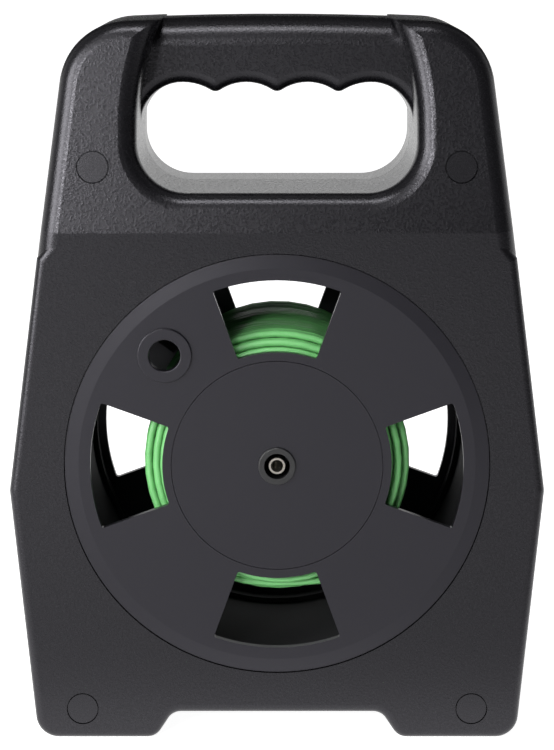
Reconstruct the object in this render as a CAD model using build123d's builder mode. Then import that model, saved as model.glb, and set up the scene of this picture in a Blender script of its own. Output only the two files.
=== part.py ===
from build123d import *
from math import cos, radians, sin, tan
import os

# A hand-carried reel for a long test lead. Two moulded half shells, joined at
# the plane y = 0, hold a drum that turns about a horizontal axis along Y.
# The origin is under the middle of the reel, on the surface it stands on:
# +X to the right, +Y to the back, +Z up, millimetres.

os.makedirs("parts", exist_ok=True)

# ---- driving dimensions: housing ----
housing_depth = 90.0
wall = 3.0
grip_wall = 3.6             # the grip is a little stouter
disc_radius = 69.0          # the drum's flanges, which close the housing's round openings
foot_height = 22.5          # from the ground to the lowest point of a flange
side_margin = 18.2          # from a flange to the housing's widest point
brow = 6.9                  # from the top of a flange to the crease across the face
sill = 13.4                 # from the crease to the floor of the handle opening
opening_height = 33.0
opening_half_width = 44.2
grip_height = 21.9
grip_depth = 43.0
widest_height = 83.0
base_half_width = 78.9
upper_side_lean = 7.35      # degrees, above the widest point
face_tilt = 8.0             # degrees, how far the face leans back above the crease
mould_draft = 1.5           # degrees, the walls of the handle opening

# ---- driving dimensions: feet, edges ----
foot_inner_x = 40.0
notch_height = 8.6
notch_wall_run = 5.6
top_crown = 2.1             # how much higher the top is in the middle than at its corners
top_corner_radius = 22.0
widest_radius = 6.0
base_corner_radius = 7.5
notch_radius = 5.0
upper_edge_radius = 6.0     # round the tilted face and round the handle opening
lower_edge_radius = 2.8     # round the flat face
grip_top_radius = 9.0
grip_lower_radius = 4.0
opening_corner = 15.0
opening_top_corner = 13.3
scallop_pitch = 20.1
scallop_depth = 3.8
cusp_radius = 3.5
recess_top_half_width = 33.5  # between the side arms, at the top of the handle
corner_clip = 8.25          # height of the clipped corners of the flat face
clip_width = 6.6
overlap_band = 14.0         # the upper body reaches this far below the crease
seam_relief = 0.2           # depth of the fine groove where the half shells meet
seam_relief_width = 0.6

# ---- driving dimensions: fits ----
running_gap = 0.3           # between the drum and the housing, radially
axial_gap = 0.4
slip_gap = 0.2              # a cover in its recess

# ---- driving dimensions: drum ----
disc_thickness = 3.0
disc_bevel_width = 4.5
disc_bevel_drop = 0.5
bearing_width = 1.6         # thickness of the ring that the drum turns on
bearing_inset = 3.9         # from the flange's rim to that ring's outer face
bearing_length = 6.0
window_inner_radius = 37.3
window_outer_radius = 60.7
window_half_angle = 20.0
window_corner_radius = 0.8
window_count = 4
first_spoke_angle = 45.0    # the spokes are between the windows
rib_height = 2.0
rib_width = 2.0
rib_half_angle = 10.0       # the two ribs of a spoke stand this far from its middle
cover_radius = 34.5
cover_thickness = 1.6
crank_hole_radius = 5.1
crank_ring_radius = 8.85
crank_ring_raise = 1.0
crank_circle_radius = 51.4
crank_angle = 135.0
hub_radius = 20.0
hub_wall = 2.6
hub_spigot_length = 4.0
hub_screw_circle = 13.2
hub_boss_radius = 4.4
hub_screw_count = 4
hub_screw_angle = 45.0
crank_ring_rounding = 0.4

# ---- driving dimensions: screws ----
upper_screw_x = 59.2
upper_screw_rise = 7.6      # above the floor of the handle opening
lower_screw_x = 64.0
lower_screw_z = 10.1
post_radius = 7.2
cap_radius = 4.9
cap_thickness = 2.2
cap_stem_length = 5.0
cap_gap = 0.1
cap_ring_gap = 0.35         # round a screw cap, seen as a fine ring
cap_sink = 0.1              # of a cap's face below the housing's
screw_head_radius = 4.0
screw_head_height = 3.2
cross_width = 1.2           # of the cross slots in the heads
cross_length = 5.6
screw_shank_radius = 2.0
screw_grip = 12.0           # of the front post, under the head
screw_bite = 18.0           # in the rear post
small_head_radius = 2.8
small_head_height = 1.5
small_shank_radius = 1.5
small_bite = 9.0

# ---- driving dimensions: 4 mm safety socket ----
socket_collar_radius = 6.1
socket_barrel_radius = 5.5
socket_bore_radius = 4.2
socket_length = 24.0
socket_floor = 3.0
contact_radius = 2.65
contact_bore_radius = 2.0
contact_setback = 0.9       # behind the collar's face, so that a finger can't reach it
contact_tail = 5.0
nut_across_flats = 14.0
nut_height = 3.5
washer_thickness = 0.8
tag_thickness = 0.8
tag_radius = 4.4
tag_width = 4.0

# ---- driving dimensions: lead and plug ----
lead_diameter = 2.6
lead_layers = 9
tail_offset = 8.0           # of the lead inside the hub, from the drum's axis
tail_exit_inset = 8.0       # of the hole in the hub's wall, from the rear flange
plug_angle = 315.0
plug_circle_radius = 50.5
boot_length = 14.0
boot_tip_radius = 2.1
boot_base_radius = 4.0
plug_radius = 5.2
plug_length = 24.0
shroud_radius = 3.95
shroud_bore_radius = 2.75
shroud_length = 19.0
pin_radius = 1.4
cage_radius = 2.0
outlet_half_width = 7.0
outlet_half_height = 7.0
outlet_corner_radius = 4.0
duct_wall = 2.0
tail_bend_radius = 6.5
end_angle = 280.0           # where the lead leaves the winding for the plug
end_inset = 5.5             # of that stretch, from the front flange
end_bend_radius = 8.3
boot_start_inset = 24.0     # of the boot's tip, from the front flange
plug_rounding = 0.8
pin_setback = 1.0
cage_start = 3.0
cage_length = 12.0
clamp_length = 16.0
clamp_width = 6.0
clamp_thickness = 2.4       # above the lead
clamp_screw_x = 5.2
clamp_screw_bite = 2.2
clamp_shank_radius = 1.0
clamp_head_radius = 1.9
clamp_head_height = 1.2
clamp_shelf_length = 12.0
clamp_shelf_thickness = 2.8

# ---- dependent sizes ----
half_depth = housing_depth / 2
axis_z = foot_height + disc_radius
crease_z = axis_z + disc_radius + brow
opening_floor_z = crease_z + sill
opening_roof_z = opening_floor_z + opening_height
top_z = opening_roof_z + grip_height
widest_x = disc_radius + side_margin
corner_z = top_z - top_crown
corner_x = widest_x - (corner_z - widest_height) * tan(radians(upper_side_lean))
grip_front = grip_depth / 2
disc_back = half_depth - disc_thickness
hub_half_length = disc_back
bearing_radius = disc_radius - bearing_inset
chamber_radius = bearing_radius + running_gap
seat_radius = disc_radius + running_gap
seat_depth = disc_thickness + axial_gap
coil_radius = hub_radius + lead_layers * lead_diameter + 0.2
hub_bore_radius = hub_radius - hub_wall
tail_exit_y = disc_back - tail_exit_inset
end_y = end_inset - disc_back
boot_y = boot_start_inset - disc_back
coil_half_width = disc_back - 0.5
outlet_z = axis_z - coil_radius + lead_diameter / 2
outlet_side_x = base_half_width + (widest_x - base_half_width) * outlet_z / widest_height
upper_screw_z = opening_floor_z + upper_screw_rise
screw_places = [
    (side * x, z)
    for side in (-1, 1)
    for x, z in ((upper_screw_x, upper_screw_z), (lower_screw_x, lower_screw_z))
]


def face_depth(z):
    """How far the housing's face stands in front of the seam at a height."""
    return half_depth - max(0, z - crease_z) * tan(radians(face_tilt))


# The front faces +x to the right and +z up in these sketch planes; a positive
# extrusion goes towards the front.
seam = Plane.XZ
drum = Plane(origin=(0, 0, axis_z), x_dir=(1, 0, 0), z_dir=(0, -1, 0))
drum_from_back = Plane(origin=(0, 0, axis_z), x_dir=(-1, 0, 0), z_dir=(0, 1, 0))
tilted_face = Plane(
    origin=(0, -half_depth, crease_z),
    x_dir=(1, 0, 0),
    z_dir=(0, -cos(radians(face_tilt)), sin(radians(face_tilt))),
)


# ---- outlines, drawn flat: x to the right, y up ----
def housing_profile(inset=0.0):
    """The housing seen from the front, with its feet and the notch between them."""
    right = [
        (foot_inner_x - notch_wall_run, notch_height),
        (foot_inner_x, 0),
        (base_half_width, 0),
        (widest_x, widest_height),
        (corner_x, corner_z),
    ]
    with BuildSketch() as sketch:
        with BuildLine():
            Polyline(*right)
            ThreePointArc((corner_x, corner_z), (0, top_z), (-corner_x, corner_z))
            Polyline(*[(-x, z) for x, z in reversed(right)])
            Line((-right[0][0], notch_height), right[0])
        make_face()
        radii = (notch_radius, notch_radius, base_corner_radius, widest_radius, top_corner_radius)
        for (x, z), radius in zip(right, radii):
            pair = [v for v in sketch.vertices() if Vector(abs(v.X) - x, v.Y - z).length < 0.01]
            fillet(pair, radius)
        if inset:
            offset(amount=-inset, mode=Mode.REPLACE)
    return sketch.sketch


def opening_profile(grow=0.0, roof=True):
    """The handle opening: with finger scallops in its roof, or carried on up past the top."""
    shoulder = (opening_half_width, opening_roof_z - opening_top_corner)
    crest = (opening_half_width - opening_top_corner, opening_roof_z)
    cusp_z = opening_roof_z - scallop_depth
    sky_z = top_z + upper_edge_radius
    with BuildSketch() as sketch:
        with BuildLine():
            floor = Line((0, opening_floor_z), (opening_half_width - opening_corner, opening_floor_z))
            low_end = (opening_half_width, opening_floor_z + opening_corner)
            TangentArc(floor @ 1, low_end, tangent=(1, 0))
            Line(low_end, shoulder)
            if roof:
                TangentArc(shoulder, crest, tangent=(0, 1))
                TangentArc(crest, (scallop_pitch, cusp_z), tangent=(-1, 0))
                ThreePointArc((scallop_pitch, cusp_z), (scallop_pitch / 2, opening_roof_z), (0, cusp_z))
                Line((0, opening_floor_z), (0, cusp_z))
            else:
                TangentArc(shoulder, (recess_top_half_width, sky_z), tangent=(0, 1))
                Line((recess_top_half_width, sky_z), (0, sky_z))
                Line((0, opening_floor_z), (0, sky_z))
        make_face()
        mirror(about=Plane.YZ)
        if roof:
            fillet([v for v in sketch.vertices() if abs(v.Y - cusp_z) < 0.01], cusp_radius)
        if grow:
            offset(amount=grow, mode=Mode.REPLACE)
    return sketch.sketch


def keep_above(z):
    """Takes the part of the open sketch below a height away."""
    with Locations((0, z)):
        Rectangle(4 * widest_x, 4 * top_z, align=(Align.CENTER, Align.MAX), mode=Mode.SUBTRACT)


def keep_below(z):
    """Takes the part of the open sketch above a height away."""
    with Locations((0, z)):
        Rectangle(4 * widest_x, 4 * top_z, align=(Align.CENTER, Align.MIN), mode=Mode.SUBTRACT)


# ---- housing: each half is this front half, and the rear one is its mirror image ----
def upper_body():
    """The side arms and the top of the body, with the tilted face and its soft edges."""
    with BuildPart() as body:
        with BuildSketch(seam):
            add(housing_profile())
            keep_above(crease_z - overlap_band)
        extrude(amount=half_depth)
        split(bisect_by=tilted_face, keep=Keep.BOTTOM)
        with BuildSketch(seam):
            add(opening_profile(roof=False))
        extrude(amount=half_depth, taper=-mould_draft, mode=Mode.SUBTRACT)
        face_edges = [
            edge
            for edge in body.edges()
            if edge.bounding_box().max.Y < -grip_front
            and edge.center().Z > crease_z - overlap_band + 1
            and abs(edge.center().Z - crease_z) > 0.1
        ]
        fillet(face_edges, upper_edge_radius)
    return body.part


def lower_body():
    """The flat-faced body round the drum, clipped at its upper corners."""
    side_x = widest_x - (crease_z - corner_clip - widest_height) * tan(radians(upper_side_lean))
    with BuildPart() as body:
        with BuildSketch(seam):
            add(housing_profile())
            keep_below(crease_z)
            for side in (-1, 1):
                with BuildLine():
                    Polyline(
                        (side * (side_x - clip_width), crease_z),
                        (side * (side_x + clip_width), crease_z),
                        (side * side_x, crease_z - corner_clip),
                        close=True,
                    )
                make_face(mode=Mode.SUBTRACT)
        extrude(amount=half_depth)
        face = body.faces().sort_by(Axis.Y)[0]
        fillet([edge for edge in face.edges() if edge.center().Z < crease_z - 0.1], lower_edge_radius)
    return body.part


def grip_bar(inset=0.0):
    """Half of the grip, with finger scallops below and a rounded front, reaching into both arms."""
    reach = opening_half_width + wall + inset
    with BuildPart() as bar:
        with BuildSketch(seam):
            add(housing_profile(inset))
            keep_above(opening_roof_z - opening_top_corner)
            with Locations((reach, 0), (-reach - 2 * widest_x, 0)):
                Rectangle(2 * widest_x, 4 * top_z, align=(Align.MIN, Align.CENTER), mode=Mode.SUBTRACT)
        extrude(amount=grip_front - inset)
        with BuildSketch(seam):
            add(opening_profile(inset))
        extrude(amount=half_depth, taper=-mould_draft, mode=Mode.SUBTRACT)
        front = bar.faces().sort_by(Axis.Y)[0]
        fillet(front.edges().sort_by(Axis.Z)[-1], grip_top_radius - inset)
        if not inset:
            front = bar.faces().filter_by(Axis.Y).sort_by(Axis.Y)[0]
            roof = [
                edge
                for edge in front.edges()
                if edge.center().Z < opening_roof_z + wall and abs(edge.center().X) < opening_half_width
            ]
            fillet(roof, grip_lower_radius)
    return bar.part


def half_cavity():
    """What is hollow in the front half, inside walls of one thickness."""
    with BuildPart() as cavity:
        with BuildSketch(seam):
            add(housing_profile(wall))
        extrude(amount=half_depth - wall)
        split(bisect_by=tilted_face.offset(-wall), keep=Keep.BOTTOM)
        with BuildSketch(seam):
            add(opening_profile(wall, roof=False))
        extrude(amount=half_depth, taper=-mould_draft, mode=Mode.SUBTRACT)
        add(grip_bar(grip_wall))
    return cavity.part


def half_shell():
    """The front half with its cavity, the drum's chamber, the flange's seat and half of the
    lead's outlet, but without screw posts."""
    duct = Plane.YZ.offset(hub_radius)
    with BuildPart() as shell:
        add(upper_body())
        add(lower_body())
        add(grip_bar())
        add(half_cavity(), mode=Mode.SUBTRACT)

        # chamber wall, and the thicker ring that holds the flange's seat
        with BuildSketch(drum):
            Circle(chamber_radius + wall)
        extrude(amount=half_depth - wall / 2)
        with BuildSketch(drum.offset(half_depth - seat_depth - wall)):
            Circle(seat_radius + wall)
        extrude(amount=seat_depth)

        # duct from the chamber to the outlet in the side wall
        with BuildSketch(duct):
            with Locations((0, outlet_z)):
                Rectangle(
                    outlet_half_width + duct_wall,
                    2 * (outlet_half_height + duct_wall),
                    align=(Align.MAX, Align.CENTER),
                )
        extrude(amount=outlet_side_x - wall / 2 - hub_radius)
        with BuildSketch(drum):
            Circle(chamber_radius)
        extrude(amount=half_depth, mode=Mode.SUBTRACT)
        with BuildSketch(drum.offset(half_depth - seat_depth)):
            Circle(seat_radius)
        extrude(amount=seat_depth, mode=Mode.SUBTRACT)
        with BuildSketch(duct):
            with Locations((0, outlet_z)):
                RectangleRounded(2 * outlet_half_width, 2 * outlet_half_height, outlet_corner_radius)
        extrude(amount=2 * widest_x, mode=Mode.SUBTRACT)

        # fine groove all round where the two halves meet
        with BuildSketch(seam):
            add(housing_profile())
            add(housing_profile(seam_relief_width), mode=Mode.SUBTRACT)
            add(opening_profile(seam_relief_width))
            add(opening_profile(), mode=Mode.SUBTRACT)
        extrude(amount=seam_relief, mode=Mode.SUBTRACT)
    return shell.part


with BuildPart() as front_shell:
    add(half_shell())
    for x, z in screw_places:
        face = face_depth(z)
        with BuildSketch(seam):
            with Locations((x, z)):
                Circle(post_radius)
        extrude(amount=face - wall / 2)
        with BuildSketch(seam):
            with Locations((x, z)):
                Circle(screw_shank_radius + slip_gap)
        extrude(amount=screw_grip, mode=Mode.SUBTRACT)
        with BuildSketch(seam.offset(screw_grip)):
            with Locations((x, z)):
                Circle(screw_head_radius + slip_gap)
        extrude(amount=face - screw_grip, mode=Mode.SUBTRACT)
        with BuildSketch(seam.offset(face - cap_thickness)):
            with Locations((x, z)):
                Circle(cap_radius + cap_ring_gap)
        extrude(amount=cap_thickness + wall, mode=Mode.SUBTRACT)
front_shell.part.label = "front_shell"
export_step(front_shell.part, "parts/front_shell.step")

with BuildPart() as rear_shell:
    mirror(half_shell(), about=seam)
    for x, z in screw_places:
        with BuildSketch(seam):
            with Locations((x, z)):
                Circle(post_radius)
        extrude(amount=-(face_depth(z) - wall / 2))
        with BuildSketch(seam):
            with Locations((x, z)):
                Circle(screw_shank_radius)
        extrude(amount=-(screw_bite + wall), mode=Mode.SUBTRACT)
rear_shell.part.label = "rear_shell"
export_step(rear_shell.part, "parts/rear_shell.step")

with BuildPart() as housing_screws:
    for x, z in screw_places:
        with BuildSketch(seam.offset(-screw_bite)):
            with Locations((x, z)):
                Circle(screw_shank_radius)
        extrude(amount=screw_bite + screw_grip)
        with BuildSketch(seam.offset(screw_grip)):
            with Locations((x, z)):
                Circle(screw_head_radius)
        extrude(amount=screw_head_height)
        with BuildSketch(seam.offset(screw_grip + screw_head_height)):
            with Locations((x, z)):
                Rectangle(cross_width, cross_length)
                Rectangle(cross_length, cross_width)
        extrude(amount=-screw_head_height / 2, mode=Mode.SUBTRACT)
housing_screws.part.label = "housing_screws"
export_step(housing_screws.part, "parts/housing_screws.step")

with BuildPart() as screw_caps:
    for x, z in screw_places:
        face = face_depth(z)
        with BuildSketch(seam.offset(face - cap_thickness)):
            with Locations((x, z)):
                Circle(cap_radius)
        extrude(amount=cap_thickness + wall)
        with BuildSketch(seam.offset(face - cap_thickness)):
            with Locations((x, z)):
                Circle(screw_head_radius)
        extrude(amount=-cap_stem_length)
    split(bisect_by=tilted_face.offset(-cap_sink), keep=Keep.BOTTOM)
    split(bisect_by=seam.offset(half_depth - cap_sink), keep=Keep.BOTTOM)
screw_caps.part.label = "screw_caps"
export_step(screw_caps.part, "parts/screw_caps.step")


# ---- drum: turns in the chamber ----
def flange():
    """The front flange: windows, bearing ring, hub spigot, and the ring round the crank hole."""
    floor = half_depth - cover_thickness
    radial = Plane(origin=(0, 0, axis_z), x_dir=(1, 0, 0), z_dir=(0, 0, 1))
    with BuildPart() as disc:
        with BuildSketch(radial):
            with BuildLine():
                Polyline(
                    (0, -floor),
                    (cover_radius, -floor),
                    (cover_radius, -half_depth),
                    (disc_radius - disc_bevel_width, -half_depth),
                    (disc_radius, -half_depth + disc_bevel_drop),
                    (disc_radius, -disc_back),
                    (bearing_radius, -disc_back),
                    (bearing_radius, -disc_back + bearing_length),
                    (bearing_radius - bearing_width, -disc_back + bearing_length),
                    (bearing_radius - bearing_width, -disc_back),
                    (hub_bore_radius - slip_gap, -disc_back),
                    (hub_bore_radius - slip_gap, -disc_back + hub_spigot_length),
                    (0, -disc_back + hub_spigot_length),
                    close=True,
                )
            make_face()
        revolve(axis=Axis((0, 0, axis_z), (0, 1, 0)))

        # two stiffening ribs behind each spoke, outside the winding
        rib_start = coil_radius + running_gap
        rib_end = bearing_radius - bearing_width / 2
        with BuildSketch(drum.offset(disc_back)):
            for spoke in range(window_count):
                for side in (-1, 1):
                    angle = first_spoke_angle + spoke * 360 / window_count + side * rib_half_angle
                    with Locations(Location((0, 0, 0), (0, 0, angle))):
                        with Locations(((rib_start + rib_end) / 2, 0)):
                            Rectangle(rib_end - rib_start, rib_width)
        extrude(amount=-rib_height)

        # windows
        with BuildSketch(drum.offset(disc_back)) as windows:
            for quarter in range(window_count):
                middle = quarter * 360 / window_count
                with BuildLine():
                    inner = CenterArc(
                        (0, 0), window_inner_radius, middle - window_half_angle, 2 * window_half_angle
                    )
                    outer = CenterArc(
                        (0, 0), window_outer_radius, middle - window_half_angle, 2 * window_half_angle
                    )
                    Line(inner @ 0, outer @ 0)
                    Line(inner @ 1, outer @ 1)
                make_face()
            fillet(windows.vertices(), window_corner_radius)
        extrude(amount=disc_thickness, mode=Mode.SUBTRACT)

        # crank hole in its raised ring
        ring = Location((0, 0, 0), (0, 0, crank_angle)) * Location((crank_circle_radius, 0, 0))
        with BuildSketch(drum.offset(disc_back)):
            with Locations(ring):
                Circle(crank_ring_radius)
        extrude(amount=disc_thickness + crank_ring_raise)
        with BuildSketch(drum.offset(disc_back)):
            with Locations(ring):
                Circle(crank_hole_radius)
        extrude(amount=disc_thickness + crank_ring_raise, mode=Mode.SUBTRACT)
        top = disc.faces().sort_by(Axis.Y)[0]
        fillet(top.edges(), crank_ring_rounding)

        # socket hole and counterbored screw holes in the middle
        with BuildSketch(drum):
            Circle(socket_barrel_radius + cap_gap)
        extrude(amount=half_depth, mode=Mode.SUBTRACT)
        with BuildSketch(drum):
            with PolarLocations(hub_screw_circle, hub_screw_count, start_angle=hub_screw_angle):
                Circle(small_shank_radius + cap_gap)
        extrude(amount=half_depth, mode=Mode.SUBTRACT)
        with BuildSketch(drum.offset(floor)):
            with PolarLocations(hub_screw_circle, hub_screw_count, start_angle=hub_screw_angle):
                Circle(small_head_radius + slip_gap)
        extrude(amount=-(small_head_height + slip_gap), mode=Mode.SUBTRACT)
    return disc.part


def cover(bore_radius=0.0):
    """The thin round plate in the middle of a flange, over the screws."""
    with BuildPart() as plate:
        with BuildSketch(drum.offset(half_depth - cover_thickness)):
            Circle(cover_radius - slip_gap)
            if bore_radius:
                Circle(bore_radius, mode=Mode.SUBTRACT)
        extrude(amount=cover_thickness)
    return plate.part


with BuildPart() as front_flange:
    add(flange())
front_flange.part.label = "front_flange"
export_step(front_flange.part, "parts/front_flange.step")

with BuildPart() as rear_flange:
    add(flange().rotate(Axis.Z, 180))
rear_flange.part.label = "rear_flange"
export_step(rear_flange.part, "parts/rear_flange.step")

with BuildPart() as hub_core:
    with BuildSketch(drum.offset(-hub_half_length)):
        Circle(hub_radius)
        Circle(hub_bore_radius, mode=Mode.SUBTRACT)
    extrude(amount=2 * hub_half_length)
    boss_start = hub_half_length - hub_spigot_length
    boss_length = small_bite + wall
    for end in (-1, 1):
        with BuildSketch(drum.offset(end * (boss_start - boss_length / 2))):
            with PolarLocations(hub_screw_circle, hub_screw_count, start_angle=hub_screw_angle):
                Circle(hub_boss_radius)
            Circle(hub_radius, mode=Mode.INTERSECT)
        extrude(amount=boss_length / 2, both=True)
        with BuildSketch(drum.offset(end * (boss_start - small_bite / 2))):
            with PolarLocations(hub_screw_circle, hub_screw_count, start_angle=hub_screw_angle):
                Circle(small_shank_radius)
        extrude(amount=small_bite / 2, both=True, mode=Mode.SUBTRACT)
    # shelf that the lead is clamped to, and the hole the lead leaves by
    with BuildSketch(drum.offset(-clamp_shelf_length / 2)):
        with Locations((0, -tail_offset - lead_diameter / 2)):
            Rectangle(2 * hub_radius, clamp_shelf_thickness, align=(Align.CENTER, Align.MAX))
        Circle(hub_radius, mode=Mode.INTERSECT)
    extrude(amount=clamp_shelf_length)
    with BuildSketch(Plane.XY.offset(axis_z - hub_radius)):
        with Locations((0, tail_exit_y)):
            Circle(lead_diameter / 2 + slip_gap)
    extrude(amount=hub_wall + slip_gap, mode=Mode.SUBTRACT)
    with BuildSketch(Plane.XY.offset(axis_z - tail_offset - lead_diameter / 2)):
        with Locations((-clamp_screw_x, 0), (clamp_screw_x, 0)):
            Circle(clamp_shank_radius)
    extrude(amount=-clamp_screw_bite, mode=Mode.SUBTRACT)
hub_core.part.label = "hub_core"
export_step(hub_core.part, "parts/hub_core.step")

with BuildPart() as hub_screws:
    head_top = half_depth - cover_thickness - slip_gap
    for around in (drum, drum_from_back):
        with BuildSketch(around.offset(head_top - small_head_height)):
            with PolarLocations(hub_screw_circle, hub_screw_count, start_angle=hub_screw_angle):
                Circle(small_head_radius)
        extrude(amount=small_head_height)
        with BuildSketch(around.offset(hub_half_length - hub_spigot_length - small_bite)):
            with PolarLocations(hub_screw_circle, hub_screw_count, start_angle=hub_screw_angle):
                Circle(small_shank_radius)
        extrude(amount=head_top - small_head_height - hub_half_length + hub_spigot_length + small_bite)
hub_screws.part.label = "hub_screws"
export_step(hub_screws.part, "parts/hub_screws.step")

with BuildPart() as centre_cover:
    add(cover(socket_barrel_radius + cap_gap))
centre_cover.part.label = "centre_cover"
export_step(centre_cover.part, "parts/centre_cover.step")

with BuildPart() as rear_cover:
    add(cover().rotate(Axis.Z, 180))
rear_cover.part.label = "rear_cover"
export_step(rear_cover.part, "parts/rear_cover.step")


# ---- safety socket in the middle of the front flange ----
collar_face = half_depth + crank_ring_raise
socket_back = collar_face - socket_length

with BuildPart() as socket_body:
    with BuildSketch(drum.offset(half_depth)):
        Circle(socket_collar_radius)
    extrude(amount=crank_ring_raise)
    fillet(socket_body.faces().sort_by(Axis.Y)[0].edges(), crank_ring_rounding)
    with BuildSketch(drum.offset(socket_back)):
        Circle(socket_barrel_radius)
    extrude(amount=half_depth - socket_back)
    with BuildSketch(drum.offset(socket_back + socket_floor)):
        Circle(socket_bore_radius)
    extrude(amount=socket_length, mode=Mode.SUBTRACT)
    with BuildSketch(drum.offset(socket_back)):
        Circle(contact_radius)
    extrude(amount=socket_floor, mode=Mode.SUBTRACT)
socket_body.part.label = "socket_body"
export_step(socket_body.part, "parts/socket_body.step")

with BuildPart() as socket_contact:
    with BuildSketch(drum.offset(socket_back - contact_tail)):
        Circle(contact_radius)
    extrude(amount=socket_length + contact_tail - contact_setback)
    with BuildSketch(drum.offset(socket_back)):
        Circle(contact_bore_radius)
    extrude(amount=socket_length, mode=Mode.SUBTRACT)
socket_contact.part.label = "socket_contact"
export_step(socket_contact.part, "parts/socket_contact.step")

washer_front = hub_half_length - hub_spigot_length
with BuildPart() as socket_washer:
    with BuildSketch(drum.offset(washer_front)):
        Circle(nut_across_flats / 2)
        Circle(socket_barrel_radius + cap_gap, mode=Mode.SUBTRACT)
    extrude(amount=-washer_thickness)
socket_washer.part.label = "socket_washer"
export_step(socket_washer.part, "parts/socket_washer.step")

with BuildPart() as socket_nut:
    with BuildSketch(drum.offset(washer_front - washer_thickness)):
        RegularPolygon(nut_across_flats / 2, 6, major_radius=False)
        Circle(socket_barrel_radius, mode=Mode.SUBTRACT)
    extrude(amount=-nut_height)
socket_nut.part.label = "socket_nut"
export_step(socket_nut.part, "parts/socket_nut.step")

with BuildPart() as solder_tag:
    with BuildSketch(drum.offset(socket_back)):
        Circle(tag_radius)
        Rectangle(tag_width, tail_offset + tag_width / 2, align=(Align.CENTER, Align.MAX))
        Circle(contact_radius, mode=Mode.SUBTRACT)
    extrude(amount=-tag_thickness)
solder_tag.part.label = "solder_tag"
export_step(solder_tag.part, "parts/solder_tag.step")


# ---- the lead, and what it is held by ----
shelf_z = axis_z - tail_offset - lead_diameter / 2
with BuildPart() as lead_clamp:
    with BuildSketch(Plane.XY.offset(shelf_z)):
        RectangleRounded(clamp_length, clamp_width, clamp_width / 3)
        with Locations((-clamp_screw_x, 0), (clamp_screw_x, 0)):
            Circle(clamp_shank_radius + cap_gap, mode=Mode.SUBTRACT)
    extrude(amount=lead_diameter + clamp_thickness)
    with BuildSketch(drum.offset(-clamp_width)):
        with Locations((0, -tail_offset)):
            Circle(lead_diameter / 2)
            Rectangle(lead_diameter, lead_diameter, align=(Align.CENTER, Align.MAX))
    extrude(amount=2 * clamp_width, mode=Mode.SUBTRACT)
lead_clamp.part.label = "lead_clamp"
export_step(lead_clamp.part, "parts/lead_clamp.step")

with BuildPart() as clamp_screws:
    clamp_top = shelf_z + lead_diameter + clamp_thickness
    with BuildSketch(Plane.XY.offset(shelf_z - clamp_screw_bite)):
        with Locations((-clamp_screw_x, 0), (clamp_screw_x, 0)):
            Circle(clamp_shank_radius)
    extrude(amount=clamp_top - shelf_z + clamp_screw_bite)
    with BuildSketch(Plane.XY.offset(clamp_top)):
        with Locations((-clamp_screw_x, 0), (clamp_screw_x, 0)):
            Circle(clamp_head_radius)
    extrude(amount=clamp_head_height)
clamp_screws.part.label = "clamp_screws"
export_step(clamp_screws.part, "parts/clamp_screws.step")


def on_drum(radius, angle, y):
    """A point at a radius and an angle on the drum, counted from +X towards +Z."""
    return Vector(radius * cos(radians(angle)), y, axis_z + radius * sin(radians(angle)))


def lead_tube(points, bend_radius):
    """A round tube of the lead's diameter along straight runs joined by an arc."""
    with BuildPart() as tube:
        with BuildLine() as path:
            FilletPolyline(*points, radius=bend_radius)
        with BuildSketch(Plane(origin=path.line @ 0, z_dir=path.line % 0)):
            Circle(lead_diameter / 2)
        sweep()
    return tube.part


with BuildPart() as lead_tail:
    tag_back = -(socket_back - tag_thickness)
    add(
        lead_tube(
            (
                (0, tag_back, axis_z - tail_offset),
                (0, tail_exit_y, axis_z - tail_offset),
                (0, tail_exit_y, axis_z - hub_radius),
            ),
            tail_bend_radius,
        )
    )
lead_tail.part.label = "lead_tail"
export_step(lead_tail.part, "parts/lead_tail.step")

with BuildPart() as lead_coil:
    with BuildSketch(drum.offset(-coil_half_width)):
        Circle(coil_radius)
        Circle(hub_radius, mode=Mode.SUBTRACT)
    extrude(amount=2 * coil_half_width)
    rims = lead_coil.edges().filter_by(GeomType.CIRCLE).group_by(SortBy.RADIUS)[-1]
    fillet(rims, lead_diameter / 2)
lead_coil.part.label = "lead_coil"
export_step(lead_coil.part, "parts/lead_coil.step")

with BuildPart() as lead_end:
    add(
        lead_tube(
            (
                on_drum(coil_radius - lead_diameter / 2, end_angle, end_y),
                on_drum(plug_circle_radius, plug_angle, end_y),
                on_drum(plug_circle_radius, plug_angle, boot_y),
            ),
            end_bend_radius,
        )
    )
lead_end.part.label = "lead_end"
export_step(lead_end.part, "parts/lead_end.step")


# ---- plug, stowed along the winding behind a spoke; its tip points to the back ----
def plug_plane(distance):
    """A plane across the plug, a distance behind the end of its boot."""
    return Plane(
        origin=on_drum(plug_circle_radius, plug_angle, boot_y + distance), x_dir=(1, 0, 0), z_dir=(0, 1, 0)
    )


with BuildPart() as plug_boot:
    with BuildSketch(plug_plane(0)):
        Circle(boot_tip_radius)
    with BuildSketch(plug_plane(boot_length)):
        Circle(boot_base_radius)
    loft()
plug_boot.part.label = "plug_boot"
export_step(plug_boot.part, "parts/plug_boot.step")

with BuildPart() as plug_body:
    with BuildSketch(plug_plane(boot_length)):
        Circle(plug_radius)
    extrude(amount=plug_length)
    fillet(plug_body.edges().filter_by(GeomType.CIRCLE), plug_rounding)
    with BuildSketch(plug_plane(boot_length + plug_length)):
        Circle(shroud_radius)
    extrude(amount=shroud_length)
    with BuildSketch(plug_plane(boot_length + plug_length)):
        Circle(shroud_bore_radius)
    extrude(amount=shroud_length, mode=Mode.SUBTRACT)
plug_body.part.label = "plug_body"
export_step(plug_body.part, "parts/plug_body.step")

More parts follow.
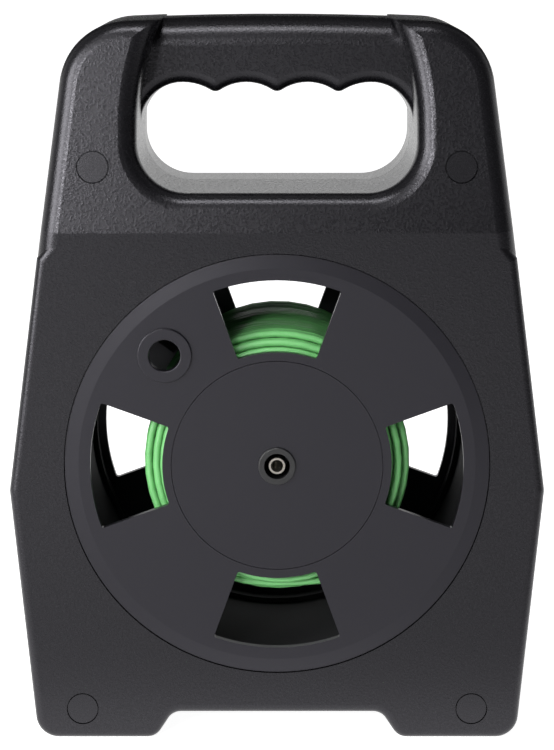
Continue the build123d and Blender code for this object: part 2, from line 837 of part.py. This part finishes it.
with BuildPart() as plug_pin:
    with BuildSketch(plug_plane(boot_length + plug_length)):
        Circle(pin_radius)
    extrude(amount=shroud_length - pin_setback)
    fillet(plug_pin.faces().sort_by(Axis.Y)[-1].edges(), pin_radius / 2)
plug_pin.part.label = "plug_pin"
export_step(plug_pin.part, "parts/plug_pin.step")

with BuildPart() as plug_cage:
    with BuildSketch(plug_plane(boot_length + plug_length + cage_start)):
        Circle(cage_radius)
        Circle(pin_radius, mode=Mode.SUBTRACT)
    extrude(amount=cage_length)
plug_cage.part.label = "plug_cage"
export_step(plug_cage.part, "parts/plug_cage.step")
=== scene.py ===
# %% [markdown]
# # A hand-carried reel for a long test lead
# This lesson dresses a reel: two charcoal half shells with a handle, a drum that
# turns inside them, and some fifty metres of thin green lead wound on the drum. The
# hard parts come ready from the frame, with their places and joints. What is made
# here is the lead itself, the finishes, the light and the camera. Lengths are in
# metres; the reel stands on z = 0, with +x to its right, +y to its back and +z up.

# %% Load the frame
import math
import random

import bpy
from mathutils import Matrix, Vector


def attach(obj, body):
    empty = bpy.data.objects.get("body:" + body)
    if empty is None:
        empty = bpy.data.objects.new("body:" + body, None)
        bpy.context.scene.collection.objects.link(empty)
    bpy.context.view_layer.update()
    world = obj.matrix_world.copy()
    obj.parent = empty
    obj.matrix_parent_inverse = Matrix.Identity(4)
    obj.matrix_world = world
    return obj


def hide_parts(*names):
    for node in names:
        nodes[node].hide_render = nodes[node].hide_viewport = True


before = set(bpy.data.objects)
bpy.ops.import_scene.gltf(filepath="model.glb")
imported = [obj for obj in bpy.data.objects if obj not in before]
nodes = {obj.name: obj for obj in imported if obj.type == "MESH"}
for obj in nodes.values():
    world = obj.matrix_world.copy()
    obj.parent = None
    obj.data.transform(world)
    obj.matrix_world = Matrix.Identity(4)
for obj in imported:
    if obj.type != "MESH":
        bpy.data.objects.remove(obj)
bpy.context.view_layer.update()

# %% [markdown]
# ## The camera
# The reel is looked at from the front and a little from above, from nearly a metre
# away with a long lens, so its sides stay almost parallel. The lens is fitted to the
# picture's height, because the picture is taller than it is wide.

# %% Camera
LENS_MM = 134.4
CAMERA_PLACE = (0, -0.9389, 0.2630)
CAMERA_TILT = math.radians(81)      # 90 would look level
SIGHT = 200                         # how far the camera sees, past the floor's far edge

eye = bpy.data.cameras.new("eye")
eye.sensor_fit = "VERTICAL"
eye.sensor_height = 36
eye.lens = LENS_MM
eye.clip_end = SIGHT
camera = bpy.data.objects.new("eye", eye)
camera.location = CAMERA_PLACE
camera.rotation_euler = (CAMERA_TILT, 0, 0)
bpy.context.collection.objects.link(camera)
bpy.context.scene.camera = camera
print("camera at", CAMERA_PLACE)

# %% [markdown]
# ## The wound lead
# The real winding is one lead, fed on by hand while the drum turns, so it is one
# curve and not a stack of rings. It starts at the solder tag of the socket, runs back
# inside the hub, comes out through the hub's wall and goes round in layers, each laid
# back over the last, until its outer end leaves for the plug. A NURBS curve of order
# 3 stays inside its control points, so the points of a turn stand a little outside
# the turn that they make.

# %% Sizes of the winding
LEAD = 0.0026                       # diameter of the lead
AXIS_Z = 0.0915                     # height of the drum's axis
FIRST_TURN = 0.0213                 # radius of the first layer's turns
LAYERS = 9
ROW_END = 0.0395                    # how far a layer reaches to the front and the back
SNUG_PITCH = 0.00264                # from turn to turn in the layers underneath
LOOSE_PITCH = 0.0033                # of the last layer, which is laid with small gaps
POINTS_PER_TURN = 14
OUTWARD = 1 / math.cos(math.pi / POINTS_PER_TURN)   # from a turn to its control points
RISE_POINTS = POINTS_PER_TURN / 4   # a layer climbs onto the last one over a quarter turn
FIRST_ANGLE = 306.0                 # where the lead comes out of the hub
FIRST_Y = 0.0338
print(LAYERS, "layers of lead,", round(LEAD * 1000, 1), "mm thick")


def on_drum(radius, degrees, y):
    """A point at a radius and an angle on the drum, counted from +x towards +z."""
    a = math.radians(degrees)
    return Vector((radius * math.cos(a), y, AXIS_Z + radius * math.sin(a)))


# %% [markdown]
# Lead that is wound by hand is never quite even. Slow waves push the turns of the
# outer layers a little forwards, backwards and outwards. They are sums of sines with
# seeded phases, so the winding comes out the same each time.

# %% Waves
random.seed(7)


def waves(periods, height):
    """A slow wander: a few sine waves of seeded phase, as a function of turns."""
    parts = [(2 * math.pi / p, random.uniform(0, 2 * math.pi)) for p in periods]
    return lambda turns: height * sum(math.sin(k * turns + p) for k, p in parts) / len(parts)


sway = waves((0.83, 1.37, 3.3, 7.9), 0.00062)
lift = waves((0.61, 0.93, 2.6), 0.00032)
print("waves at one turn:", round(sway(1.0) * 1000, 2), "mm and", round(lift(1.0) * 1000, 2), "mm")

# %% [markdown]
# Each layer goes on from where the last one ended, and rises by one diameter over a
# quarter of a turn. The last layer stops where the outer end leaves the winding.

# %% The turns
LEAVING_ANGLE = 278                 # where the lead leaves the winding for its plug
LEAVING_Y = -0.0352


def wound_points():
    """Control points of the winding, from the hole in the hub to its outer end."""
    step = 360 / POINTS_PER_TURN
    rise = LEAD / RISE_POINTS
    degrees, y, direction, radius = FIRST_ANGLE, FIRST_Y, -1, FIRST_TURN
    points = []
    for layer in range(LAYERS):
        last = layer == LAYERS - 1
        pitch = LOOSE_PITCH if last else SNUG_PITCH
        loose = (layer / (LAYERS - 1)) ** 4
        while y * direction < ROW_END:
            if last and y < LEAVING_Y and abs(degrees % 360 - LEAVING_ANGLE) <= step / 2:
                break
            radius = min(FIRST_TURN + layer * LEAD, radius + rise)
            turns = degrees / 360
            points.append(
                on_drum((radius + loose * lift(turns)) * OUTWARD, degrees, y + loose * sway(turns))
            )
            degrees += step
            y += direction * pitch / POINTS_PER_TURN
        direction = -direction
    return points


turns = wound_points()
print("turns:", round(len(turns) / POINTS_PER_TURN), "with", len(turns), "points")

# %% [markdown]
# The stretch inside the hub and the outer end are a few more points of the same
# curve. The outer end steps off the winding to the circle that the plug is stowed on,
# then turns to run along the drum into the plug's boot. Each point's radius is the
# lead's own, in metres, because Blender counts it in the curve's box.

# %% The whole lead
PLUG_ANGLE = 315
PLUG_CIRCLE = 0.0505                # how far from the axis the plug is stowed
END_Y = -0.0365
tag = Vector((0, -0.0212, 0.0835))
tail = [
    tag,
    Vector((0, 0.0220, 0.0835)),
    Vector((0, 0.0340, 0.0835)),
    Vector((0.0005, 0.0340, 0.0760)),
    Vector((0.0060, 0.0340, 0.0712)),
]
end = [
    on_drum(0.0436, 293, END_Y + 0.0004),
    on_drum(PLUG_CIRCLE, PLUG_ANGLE - 3, END_Y),
    on_drum(PLUG_CIRCLE, PLUG_ANGLE, END_Y + 0.0085),
    on_drum(PLUG_CIRCLE, PLUG_ANGLE, -0.0180),
    on_drum(PLUG_CIRCLE, PLUG_ANGLE, -0.0120),
]
route = tail + turns + end

line = bpy.data.curves.new("wound_lead", "CURVE")
line.dimensions = "3D"
spline = line.splines.new("NURBS")
spline.points.add(len(route) - 1)
for control, place in zip(spline.points, route):
    control.co = (*place, 1)
    control.radius = LEAD / 2
spline.order_u = 3
spline.use_endpoint_u = True
line.resolution_u = 3
line.bevel_depth = 1                # a factor on the points' radii
line.bevel_resolution = 2
line.use_fill_caps = True
lead = bpy.data.objects.new("wound_lead", line)
bpy.context.collection.objects.link(lead)

bare = bpy.data.objects.new("bare", line.copy())
bare.data.bevel_depth = 0
path = bpy.data.meshes.new_from_object(bare).vertices
bpy.data.objects.remove(bare)
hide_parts("lead_tail", "lead_coil", "lead_end")
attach(lead, "drum")

# %% [markdown]
# ## Writing finishes as sums
# A finish is a tree of nodes, and most of a tree is arithmetic on masks and grains.
# It reads best as arithmetic, so a small class wraps a socket and lets it be added,
# taken away and multiplied, which lays down the Math nodes. Colours go through Mix
# nodes, and every other node comes from one method, which first sets what the node
# is and then what goes into it.

# %% Sockets that can be added up
class Signal:
    """The output of a node in a finish, for use in sums with numbers and signals."""

    def __init__(self, finish, socket):
        self.finish = finish
        self.socket = socket

    def _math(self, operation, a, b):
        return self.finish.node("ShaderNodeMath", {"operation": operation}, {0: a, 1: b})

    def __add__(self, other):
        return self._math("ADD", self, other)

    def __sub__(self, other):
        return self._math("SUBTRACT", self, other)

    def __rsub__(self, other):
        return self._math("SUBTRACT", other, self)

    def __mul__(self, other):
        return self._math("MULTIPLY", self, other)

    def __pow__(self, other):
        return self._math("POWER", self, other)

    __radd__ = __add__
    __rmul__ = __mul__


class Tree:
    """A tree of shader nodes that is written as sums."""

    def __init__(self, owner, shader, coordinates="Object"):
        owner.use_nodes = True
        self.tree = owner.node_tree
        self.shader = self.tree.nodes[shader]
        self.place = self.node("ShaderNodeTexCoord", out=coordinates)

    def node(self, kind, settings=None, values=None, out=0):
        """Adds a node: what it is, then what goes into its sockets. Gives one output."""
        made = self.tree.nodes.new(kind)
        for name, value in (settings or {}).items():
            setattr(made, name, value)
        for name, value in (values or {}).items():
            if isinstance(value, Signal):
                self.tree.links.new(value.socket, made.inputs[name])
            else:
                made.inputs[name].default_value = value
        return Signal(self, made.outputs[out])

    def noise(self, size, detail=2.0, roughness=0.5):
        """Noise from 0 to 1 with features about as large as size, in metres."""
        return self.node(
            "ShaderNodeTexNoise",
            values={
                "Vector": self.place,
                "Scale": 1 / size,
                "Detail": detail,
                "Roughness": roughness,
            },
        )

    def blend(self, amount, a, b):
        """Colour a where amount is 0, colour b where it is 1."""
        return self.node(
            "ShaderNodeMix",
            {"data_type": "RGBA", "clamp_factor": True},
            {0: amount, 6: (*a, 1) if isinstance(a, tuple) else a, 7: (*b, 1)},
            out=2,
        )

    def steps(self, signal, low, high):
        """0 below low, 1 above high, and smooth between them."""
        return self.node(
            "ShaderNodeMapRange",
            {"interpolation_type": "SMOOTHSTEP"},
            {"Value": signal, "From Min": low, "From Max": high},
        )

    def feed(self, socket, signal):
        """Lets a signal drive one of the shader's own sockets."""
        self.tree.links.new(signal.socket, self.shader.inputs[socket])

    def axis(self, name):
        """How far along x, y or z the place is."""
        return self.node("ShaderNodeSeparateXYZ", values={"Vector": self.place}, out=name)


class Finish(Tree):
    """A material. What is the same all over it is given as the shader's own values."""

    def __init__(self, name, **uniform):
        self.material = bpy.data.materials.new(name)
        super().__init__(self.material, "Principled BSDF")
        for socket, value in uniform.items():
            self.shader.inputs[socket.replace("_", " ")].default_value = value

    def relief(self, height, depth):
        """Dents the surface: height from 0 to 1, depth in metres."""
        bump = self.node("ShaderNodeBump", values={"Height": height, "Distance": depth})
        self.feed("Normal", bump)

    def cover(self, *names):
        """Gives the finish to frame nodes, in place of their plain colour."""
        for name in names:
            slots = nodes[name].data.materials
            slots.clear()
            slots.append(self.material)
        print(self.material.name, "on", ", ".join(names))


# %% [markdown]
# ## Charcoal moulded plastic
# The shells come from a spark-eroded mould, which leaves an even grain of rounded
# pits just under a millimetre across. The grain scatters the light, so it is made
# twice: as a bump, and as a small change in tone and roughness, with the tops of the
# grain burnished smoother than its pits. A second, finer grain breaks up the pattern,
# and a very broad noise shifts the tone, as melt that cooled unevenly does. Inside
# the drum's chamber a mask on the distance from the drum's axis makes the plastic
# matt and darker: the darker colour there is painted shade. The faint blue of the
# gloss belongs to the whole surface, so it is set on the shader itself.

# %% Housing
CHARCOAL_GLOSS = {"IOR": 1.46, "Specular_Tint": (0.94, 0.92, 1.0, 1)}
# UNLIT_CHARCOAL is painted shade, the colour inside the chamber and between the drum's flanges.
UNLIT_CHARCOAL = (0.0030, 0.0030, 0.0032)
CHAMBER_MATT = 0.85                 # roughness inside the chamber
CHAMBER_EDGE = (0.0660, 0.0670)     # distance from the axis where the chamber ends

housing = Finish("grained_charcoal", **CHARCOAL_GLOSS)
pits = housing.noise(0.00085, 2.0, 0.6)
fine = housing.noise(0.00038, 1.0)
grain = pits * 0.7 + fine * 0.3
tops = housing.steps(grain, 0.40, 0.64)
drift = housing.noise(0.06, 2.0)
tone = housing.blend(tops, (0.0022, 0.0021, 0.0027), (0.0062, 0.0060, 0.0072))
shaded = housing.blend(drift * 0.35, tone, (0.0046, 0.0045, 0.0053))
across, rise = housing.axis("X"), housing.axis("Z") - AXIS_Z
outside = housing.steps((across * across + rise * rise) ** 0.5, *CHAMBER_EDGE)
# Inside the chamber the colour turns to UNLIT_CHARCOAL, which is painted shade.
housing.feed("Base Color", housing.blend(1 - outside, shaded, UNLIT_CHARCOAL))
housing.feed("Roughness", CHAMBER_MATT - outside * (0.56 + tops * 0.10 - drift * 0.05))
housing.relief(grain, 0.000085)
housing.cover("front_shell", "rear_shell")

# %% [markdown]
# The caps over the screws come from a smaller mould whose grain is finer and whose
# faces are a touch smoother, so they read as separate pieces. The drum's parts are
# finer still, and a shade bluer. They too are matt on the inside and darker there as
# painted shade, here by how far a point lies from the drum's middle along its axis.

# %% Caps and drum
FLANGE_FACE = (0.0400, 0.0416)      # distance along the axis where a flange's outside begins

caps = Finish("cap_charcoal", **CHARCOAL_GLOSS)
cap_grain = caps.noise(0.00036, 2.0)
caps.feed("Base Color", caps.blend(cap_grain, (0.0036, 0.0035, 0.0042), (0.0070, 0.0068, 0.0080)))
caps.feed("Roughness", 0.32 - cap_grain * 0.10)
caps.relief(cap_grain, 0.000012)
caps.cover("screw_caps")

drum = Finish("drum_charcoal", **CHARCOAL_GLOSS)
drum_pits = drum.noise(0.00034, 3.0, 0.6)
drum_drift = drum.noise(0.045, 2.0)
drum_tone = drum.blend(drum_pits, (0.0048, 0.0045, 0.0062), (0.0094, 0.0088, 0.0120))
drum_shaded = drum.blend(drum_drift * 0.3, drum_tone, (0.0075, 0.0071, 0.0094))
depth = drum.axis("Y")
face = drum.steps((depth * depth) ** 0.5, *FLANGE_FACE)
# Between the flanges the colour turns to UNLIT_CHARCOAL, which is painted shade.
drum.feed("Base Color", drum.blend(1 - face, drum_shaded, UNLIT_CHARCOAL))
drum.feed("Roughness", CHAMBER_MATT - face * (0.50 + drum_pits * 0.10 - drum_drift * 0.05))
drum.relief(drum_pits, 0.000014)
drum.cover("front_flange", "rear_flange", "centre_cover", "rear_cover", "hub_core", "lead_clamp")

# %% [markdown]
# ## The socket and the metal inside
# The socket's collar is black polyamide straight from a polished tool, with only the
# faint waviness of moulding. Its contact is nickel on brass, and the screws and the
# washer are zinc on steel: both are metals, told apart by their colour and by a zinc
# bloom that dulls the steel in patches.

# %% Socket and metals
socket = Finish("black_polyamide", IOR=1.5)
sink = socket.noise(0.004, 2.0)
socket.feed("Base Color", socket.blend(sink, (0.0080, 0.0080, 0.0085), (0.0130, 0.0130, 0.0140)))
socket.feed("Roughness", 0.30 + sink * 0.12)
socket.relief(sink, 0.00004)
socket.cover("socket_body", "socket_nut")

nickel = Finish("nickel_on_brass", Metallic=1.0)
tarnish = nickel.noise(0.0018, 4.0)
nickel.feed("Base Color", nickel.blend(tarnish, (0.30, 0.28, 0.25), (0.42, 0.40, 0.36)))
nickel.feed("Roughness", 0.22 + tarnish * 0.2)
nickel.relief(nickel.noise(0.0003), 0.00001)
nickel.cover("socket_contact", "solder_tag", "plug_pin", "plug_cage")

zinc = Finish("bright_zinc", Metallic=1.0)
bloom = zinc.noise(0.0012, 4.0, 0.6)
zinc.feed("Base Color", zinc.blend(bloom, (0.52, 0.53, 0.55), (0.70, 0.71, 0.72)))
zinc.feed("Roughness", 0.25 + bloom * 0.25)
zinc.relief(zinc.noise(0.0004), 0.00001)
zinc.cover("housing_screws", "hub_screws", "socket_washer", "clamp_screws")

# %% [markdown]
# ## Green lead and plug
# The lead's insulation is soft PVC, dyed through. It is satin, a little waxy where
# it has been handled, and faintly dimpled by the strands under it. The plug is a
# deeper green, moulded harder and glossier.

# %% Green PVC
pvc = Finish(
    "green_pvc",
    IOR=1.5,
    Subsurface_Weight=0.12,
    Subsurface_Radius=(0.3, 1.0, 0.3),
    Subsurface_Scale=0.0012,
)
handled = pvc.noise(0.016, 3.0)
dimples = pvc.noise(0.0011, 2.0)
pvc.feed("Base Color", pvc.blend(handled, (0.125, 0.400, 0.128), (0.170, 0.490, 0.170)))
pvc.feed("Roughness", 0.30 + handled * 0.14 + dimples * 0.06)
pvc.relief(dimples, 0.00006)
line.materials.append(pvc.material)

moulded = Finish("green_moulding", IOR=1.5)
orange_peel = moulded.noise(0.0016, 2.0)
moulded.feed("Base Color", moulded.blend(orange_peel, (0.026, 0.220, 0.034), (0.040, 0.285, 0.048)))
moulded.feed("Roughness", 0.26 + orange_peel * 0.12)
moulded.relief(orange_peel, 0.00005)
moulded.cover("plug_boot", "plug_body")

# %% [markdown]
# ## The floor
# The reel stands on a plain pale floor. From just in front of the reel and on towards
# the back it also gives off light of its own, so it goes white there, and the front
# part, which the reel's face mirrors, stays darker.

# %% Floor
FLOOR_REACH = 60
GLOW_START = (-0.15, -0.05)         # y where the floor's own light sets in
ground = bpy.data.meshes.new("floor")
ground.from_pydata(
    [(x * FLOOR_REACH, y * FLOOR_REACH, 0) for x, y in ((-1, -1), (1, -1), (1, 1), (-1, 1))],
    [],
    [(0, 1, 2, 3)],
)
floor = bpy.data.objects.new("floor", ground)
bpy.context.collection.objects.link(floor)
pale = Finish(
    "pale_floor", Base_Color=(0.82, 0.82, 0.82, 1), Roughness=0.7, Emission_Strength=0.95
)
behind = pale.steps(pale.axis("Y"), *GLOW_START)
pale.feed("Emission Color", pale.blend(behind, (0, 0, 0), (1.0, 1.0, 1.0)))
ground.materials.append(pale.material)
print("floor", 2 * FLOOR_REACH, "m across")

# %% [markdown]
# ## Light
# Dark grained plastic shows its form only through soft reflections, so the light is
# built from what the plastic mirrors. First comes the room: dim in front, bright
# behind, and less bright behind the higher one looks. The Standard view keeps the
# white background white.

# %% Room
LOOKING_UP = (0.10, 0.70)           # a direction's height, from level to steep
LOOKING_BACK = (-0.15, 0.40)        # how far a direction points to the back
bpy.context.scene.view_settings.view_transform = "Standard"
world = bpy.data.worlds.new("studio")
bpy.context.scene.world = world
room = Tree(world, "Background", "Generated")
up = room.steps(room.axis("Z"), *LOOKING_UP)
back = room.steps(room.axis("Y"), *LOOKING_BACK)
front_wall = 0.08 - up * 0.01
backdrop = 0.90 - up * 0.60
room.feed("Strength", front_wall + back * (backdrop - front_wall))
room.shader.inputs["Color"].default_value = (1, 1, 1, 1)
print("room lit")

# %% [markdown]
# Four soft boxes stand in front of the reel. A small one close to the face's mirror
# line lifts the tilted upper face and fades towards the right. A wide one further
# round to the left draws the bright bands on the rounded edges, and an overhead one
# draws the line along the top of the grip. The broad, weak panel lifts the faces.

# %% Soft boxes
FACE_CENTRE = Vector((0, 0, 0.17))


def around(azimuth, elevation, distance):
    """A place seen from the reel's face at an angle to the left and an angle up."""
    a, e = math.radians(azimuth), math.radians(elevation)
    return FACE_CENTRE + distance * Vector(
        (-math.sin(a) * math.cos(e), -math.cos(a) * math.cos(e), math.sin(e))
    )


def soft_box(name, place, size, power):
    """A rectangular light that faces the reel."""
    lamp = bpy.data.lights.new(name, "AREA")
    lamp.shape = "RECTANGLE"
    lamp.size, lamp.size_y = size
    lamp.energy = power
    box = bpy.data.objects.new(name, lamp)
    box.location = place
    box.rotation_euler = (FACE_CENTRE - place).to_track_quat("-Z", "Y").to_euler()
    box.visible_camera = False
    bpy.context.collection.objects.link(box)
    print(name, power, "W")


soft_box("left_box", around(18, 15, 1.5), (0.20, 0.34), 7.5)
soft_box("overhead", around(12, 66, 1.4), (0.50, 0.40), 6.0)
soft_box("left_edge", around(50, 14, 1.4), (0.80, 0.90), 20.0)
soft_box("front_panel", around(29, 31, 2.0), (1.9, 1.7), 8.0)

# %% [markdown]
# The handle's flat top is seen at a very low angle, where plastic mirrors whatever is
# behind it, and would turn as pale as the backdrop. A photographer hangs a black card
# there. This one is seen by reflections only: not by the camera, and it takes no
# light from anything else.

# %% Black card
CARD_HALF_WIDTH = 0.25
CARD_LOW, CARD_HIGH = 0.240, 0.60   # it starts just above the handle's top
CARD_Y = 0.10                       # behind the reel's back
sheet = bpy.data.meshes.new("black_card")
sheet.from_pydata(
    [
        (-CARD_HALF_WIDTH, CARD_Y, CARD_LOW),
        (CARD_HALF_WIDTH, CARD_Y, CARD_LOW),
        (CARD_HALF_WIDTH, CARD_Y, CARD_HIGH),
        (-CARD_HALF_WIDTH, CARD_Y, CARD_HIGH),
    ],
    [],
    [(0, 1, 2, 3)],
)
black = Finish("black_card", Roughness=1.0, Base_Color=(0.002, 0.002, 0.002, 1))
sheet.materials.append(black.material)
card = bpy.data.objects.new("black_card", sheet)
bpy.context.collection.objects.link(card)
card.visible_camera = False
card.visible_shadow = False
card.visible_diffuse = False
print("black card from z =", CARD_LOW, "to", CARD_HIGH)
